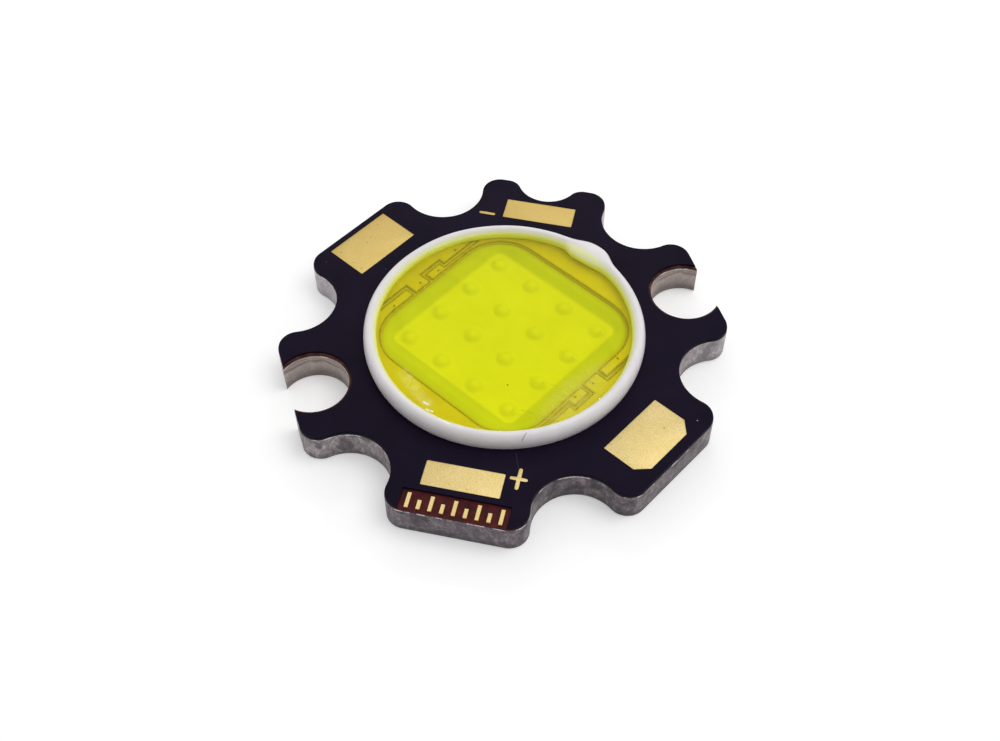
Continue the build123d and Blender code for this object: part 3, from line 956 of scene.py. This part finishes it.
for number, (reach, along_edge) in enumerate(row_bonds):
    v = die_pitch * (1.5 - number)
    last_reach, last_along = row_bonds[3 - number]
    stops = [(-(pocket_top_half + reach), along_edge, plating_top)]
    for column in range(4):
        u = die_pitch * (column - 1.5)
        stops += [(u - chip_bond, v, chip_top), (u + chip_bond, v, chip_top)]
    stops.append((pocket_top_half + last_reach, -last_along, plating_top))
    curve = bpy.data.curves.new("wire_paths", "CURVE")
    curve.dimensions = "3D"
    for start, end in zip(stops[::2], stops[1::2]):
        wire_path(curve, start, end)
    letter = "abcd"[number]
    row = grown(
        "gold_wires_row_" + letter,
        curve,
        wire_sizes | {"Finish": wire.material},
        60,
    )
    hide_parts("bond_wires_row_" + letter)


# Dam
# A bead of thick white silicone, dispensed in one round on the board to hold the fill. Its surface
# is smooth and a little uneven, and where the nozzle started and lifted off there is a lump.
bead_radius = 6.085
bead_half_width = 0.30
bead_half_height = 0.50
bead_middle = 0.32
bead_foot = 0.08
bead_unevenness = 0.012
lump_direction = 60.0
lump_outward = 0.42
lump_inward = 0.30
lump_height = 0.06
lump_lean = 1.5
stations = 480
profile_points = 28

white = Finish(
    "white_silicone",
    Roughness=0.34,
    Specular_IOR_Level=0.42,
    Subsurface_Weight=0.35,
    Subsurface_Radius=(0.00022, 0.00020, 0.00020),
    Subsurface_Scale=1.0,
)
white.base(white.mottled(white.cloud(0.9, detail=3), (225, 221, 223), (231, 228, 230)))
scratch = white.sums("MULTIPLY", white.line((2.10, -5.98), (2.22, -5.72), 0.035), 0.55)
white.over(scratch, (96, 90, 90))
from_middle = white.vectors("LENGTH", {0: white.flat()})
# The bead's inner edge, next to the fill, is coloured yellow.
yellow_inner_edge = white.ramp(white.sums("SUBTRACT", from_middle, 5.5), (0.36, 0.7), (0.48, 0.0))
white.over(yellow_inner_edge, (244, 246, 160))
# Painted highlights: two short white gleams on the bead's inner slope at the near left, where the lamps would
# catch it.
gleam = white.most(
    white.line((-1.95, -5.60), (-1.62, -5.68), 0.06),
    white.line((-1.56, -5.77), (-1.10, -5.95), 0.06),
)
white.over(white.sums("MULTIPLY", gleam, 0.9), (254, 254, 246))
skin = white.cloud(0.35, detail=3)
white.feed("Roughness", white.ramp(skin, (0.3, 0.28), (0.7, 0.42)))
white.relief(skin, 0.006, 0.25)


def lump(away, width, power):
    """How much of the lump is left this many degrees from its middle."""
    return exp(-abs(away / width) ** power)


bead = Shell()
bead_rings = []
lowest = -asin(bead_middle / bead_half_height)
for station in range(stations):
    angle = 360 * station / stations
    c, s = cos(radians(angle)), sin(radians(angle))
    away = (angle - lump_direction + 180) % 360 - 180
    beyond = away - lump_lean
    inward = lump(beyond, 9.6, 4.5) if beyond > 0 else lump(beyond, 10.5, 2.2)
    drift_a = bead_unevenness * noise.noise(Vector((c * 2.2, s * 2.2, 0.7)))
    drift_b = bead_unevenness * noise.noise(Vector((c * 6.0, s * 6.0, 4.1)))
    outer = bead_half_width + drift_a + lump_outward * lump(away, 8.6, 2.8)
    inner = bead_half_width + drift_b + lump_inward * inward
    tall = 1 + drift_b + lump_height * lump(away, 8.0, 2.4)
    ring = []
    for i in range(profile_points):
        turn = lowest + (pi - 2 * lowest) * i / (profile_points - 1)
        r = bead_radius + (outer if cos(turn) > 0 else inner) * cos(turn)
        z = mask_top + tall * (bead_middle + bead_half_height * sin(turn))
        if i in (0, profile_points - 1):
            z = mask_top - bead_foot
        ring.append((r * c, r * s, z))
    bead_rings.append(bead.run(ring))
for here, there in zip(bead_rings, bead_rings[1:] + bead_rings[:1]):
    for i in range(profile_points):
        j = (i + 1) % profile_points
        bead.faces.append((here[i], there[i], there[j], here[j]))
dam = bead.made("white_silicone_dam", white, "white_silicone", 75)
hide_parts("silicone_dam")


# Fill
# Clear silicone with a yellow-green tint, poured inside the dam over the phosphor and the bond wires.
# It stands a little proud in the middle and wets the dam all round. A pale mottled haze lies on its right
# side, and on its near left a paler band and some glints are painted on as highlights.
crown = 0.78
rim_height = 0.62
fill_edge = 6.02
fill_bottom = 1.05
creep_height = 0.13
creep_radius = 5.90
creep_softness = 0.035
fill_points = 240
tint_density = 2300.0
highlight_band_width = 0.34
highlight_band_spots = ((-3.72, -3.58), (-3.05, -4.35), (-2.58, -4.76), (-2.27, -4.97))

clear = Finish(
    "tinted_clear_silicone",
    Roughness=0.03,
    Base_Color=(1.0, 1.0, 1.0, 1.0),
    IOR=1.42,
    Specular_Tint=(0.60, 0.60, 0.25, 1.0),
    Transmission_Weight=1.0,
)
clear.relief(clear.cloud(2.4, detail=2), 0.01, 0.12)
# A pale mottled haze lies on the gel's right side, over the patches on the gold and the phosphor.
pale_haze = clear.blotchy_patch((4.95, -0.85, 0.95, 2.7), 0.45, (0.34, 0.16), (0.64, 0.55))
# Painted highlights: a pale band and a few glints along the gel's near left edge, standing in for the lamps
# caught in its ripples.
highlight_band = clear.most(*[clear.line(start, end, highlight_band_width) for start, end in zip(highlight_band_spots, highlight_band_spots[1:])])
highlight_band = clear.sums("MULTIPLY", highlight_band, clear.ramp(clear.cloud(0.20, detail=5), (0.35, 0.05), (0.65, 0.36)))
glints = clear.most(
    clear.line((-2.47, -4.95), (-2.23, -5.04), 0.06),
    clear.line((-2.25, -5.30), (-1.97, -5.36), 0.06),
)
glints = clear.sums("MULTIPLY", glints, clear.ramp(clear.cloud(0.12, detail=3), (0.35, 0.4), (0.55, 0.95)))
haze_and_highlight_tone = clear.blend(clear.ramp(highlight_band, (0.0, 0.0), (0.04, 1.0)), (218, 210, 96), (250, 244, 150))
haze_and_highlight_tone = clear.blend(clear.ramp(glints, (0.0, 0.0), (0.1, 1.0)), haze_and_highlight_tone, (254, 254, 246))
haze_and_highlights = clear.add("BsdfDiffuse", {"Color": haze_and_highlight_tone}).outputs["BSDF"]
hazed_and_highlighted = {"Fac": clear.most(pale_haze, highlight_band, glints), 1: clear.shader.outputs["BSDF"], 2: haze_and_highlights}
surface = clear.add("MixShader", hazed_and_highlighted).outputs["Shader"]
for_lamps = clear.rays("Shadow", "Diffuse", "Glossy")
let_through = clear.add("BsdfTransparent").outputs["BSDF"]
either = clear.add("MixShader", {"Fac": for_lamps, 1: surface, 2: let_through})
tint = clear.add("VolumeAbsorption", {"Color": (0.984, 0.9967, 0.02, 1.0), "Density": tint_density})
output = clear.tree.nodes["Material Output"]
clear.tree.links.new(either.outputs["Shader"], output.inputs["Surface"])
clear.tree.links.new(tint.outputs["Volume"], output.inputs["Volume"])

pool = Shell()


def pool_ring(r, z):
    """A level ring of the pool, about the board's axis."""
    directions = [2 * pi * i / fill_points for i in range(fill_points)]
    return pool.run([(r * cos(a), r * sin(a), z) for a in directions])


pool_rings = []
for step in [0.02] + [i / 30 for i in range(1, 29)] + [0.94 + i * 0.004 for i in range(16)]:
    r = fill_edge * step
    z = mask_top + crown - (crown - rim_height) * step**2
    z += creep_height / (1 + exp((creep_radius - r) / creep_softness))
    pool_rings.append(pool_ring(r, z))
floor_ring = pool_ring(fill_edge, fill_bottom)
pool.disc(pool_rings, mask_top + crown)
pool.disc([floor_ring], up=False)
pool.wall(floor_ring, pool_rings[-1])
fill = pool.made("clear_tinted_fill", clear, "tinted_silicone", 60)
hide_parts("silicone_fill")


# Stage
# A pale floor under the board, which keeps its shadow, and a white surround that gives more light
# from behind. Lamps stand over the board and at its sides, and a row of small ones behind it.
floor_reach = 2.0
floor_height = -0.00002
floor_glow = 0.30
front_light = 0.43
back_light = 0.76
floor_signs = ((-1, -1), (1, -1), (1, 1), (-1, 1))
floor_corners = [(x * floor_reach, y * floor_reach, floor_height) for x, y in floor_signs]
floor_mesh = bpy.data.meshes.new("floor")
floor_mesh.from_pydata(floor_corners, [], [(0, 1, 2, 3)])
floor = linked("floor", floor_mesh)
floor_finish = Finish(
    "pale_floor",
    Roughness=0.9,
    Base_Color=(0.80, 0.80, 0.80, 1.0),
    Specular_IOR_Level=0.1,
    Emission_Color=(1.0, 1.0, 1.0, 1.0),
)
seen = floor_finish.rays("Camera", "Glossy", "Transmission")
floor_finish.feed("Emission Strength", floor_finish.sums("MULTIPLY", seen, floor_glow))
floor_mesh.materials.append(floor_finish.material)

world = bpy.data.worlds.new("soft_studio")
bpy.context.scene.world = world
world.use_nodes = True
sky = Shading(world.node_tree)
background = sky.tree.nodes["Background"]
background.inputs["Color"].default_value = (1.0, 1.0, 1.0, 1.0)
facing = sky.add("TexCoord").outputs["Generated"]
toward_back = sky.add("SeparateXYZ", {"Vector": facing}).outputs["Y"]
light_range = {"Value": toward_back, "From Min": -1.0, "To Min": front_light, "To Max": back_light}
given_light = sky.add("MapRange", light_range)
seen = sky.rays("Camera", "Transmission", "Glossy")
level = sky.add("MapRange", {"Value": seen, "To Min": given_light.outputs["Result"], "To Max": 1.0})
sky.tree.links.new(level.outputs["Result"], background.inputs["Strength"])


def softbox(name, place, size, power):
    """A square lamp that faces the board's middle. Places and sizes are in millimetres."""
    light = bpy.data.lights.new(name, "AREA")
    light.shape = "SQUARE"
    light.size = size * mm
    light.energy = power
    lamp = linked(name, light)
    lamp.location = Vector(place) * mm
    lamp.rotation_euler = (-lamp.location).to_track_quat("-Z", "Y").to_euler()


softbox("overhead_box", (95, 25, 210), 150, 0.175)
softbox("left_box", (-210, 50, 90), 90, 0.03)
softbox("right_box", (210, 60, 90), 90, 0.03)
for number in range(7):
    softbox(f"strip_lamp_{number}", (-112 + 18 * number, 185, 138), 5, 0.005)

# The camera stands where the photograph was taken from: turned, tilted and set back by these, with
# the board's middle a little off the picture's. Angles are in radians, and the distance in millimetres.
picture_width = 1000
picture_height = 741
sensor_width = 36
focal_length = 1316.04
elevation = 0.90182
turn = 0.22045
roll = -0.00231
distance = 59.944
board_column = 504.158
board_row = 335.054
off_middle_x = board_column - picture_width / 2
off_middle_y = board_row - picture_height / 2
back = Vector((sin(turn) * cos(elevation), -cos(turn) * cos(elevation), sin(elevation)))
level_right = (-back).cross(Vector((0, 0, 1))).normalized()
level_up = level_right.cross(-back)
right = cos(roll) * level_right + sin(roll) * level_up
up = -sin(roll) * level_right + cos(roll) * level_up
spot = -(right * off_middle_x - up * off_middle_y) * distance / focal_length + back * distance
camera_data = bpy.data.cameras.new("camera")
camera_data.lens = focal_length / picture_width * sensor_width
camera_data.sensor_width = sensor_width
camera_data.clip_start = 0.001
camera_data.clip_end = 5.0
camera = linked("camera", camera_data)
camera_turn = Matrix((right, up, back)).transposed().to_4x4()
camera.matrix_world = Matrix.Translation((spot + Vector((0, 0, mask_top))) * mm) @ camera_turn
bpy.context.scene.camera = camera
bpy.context.scene.view_settings.view_transform = "Standard"
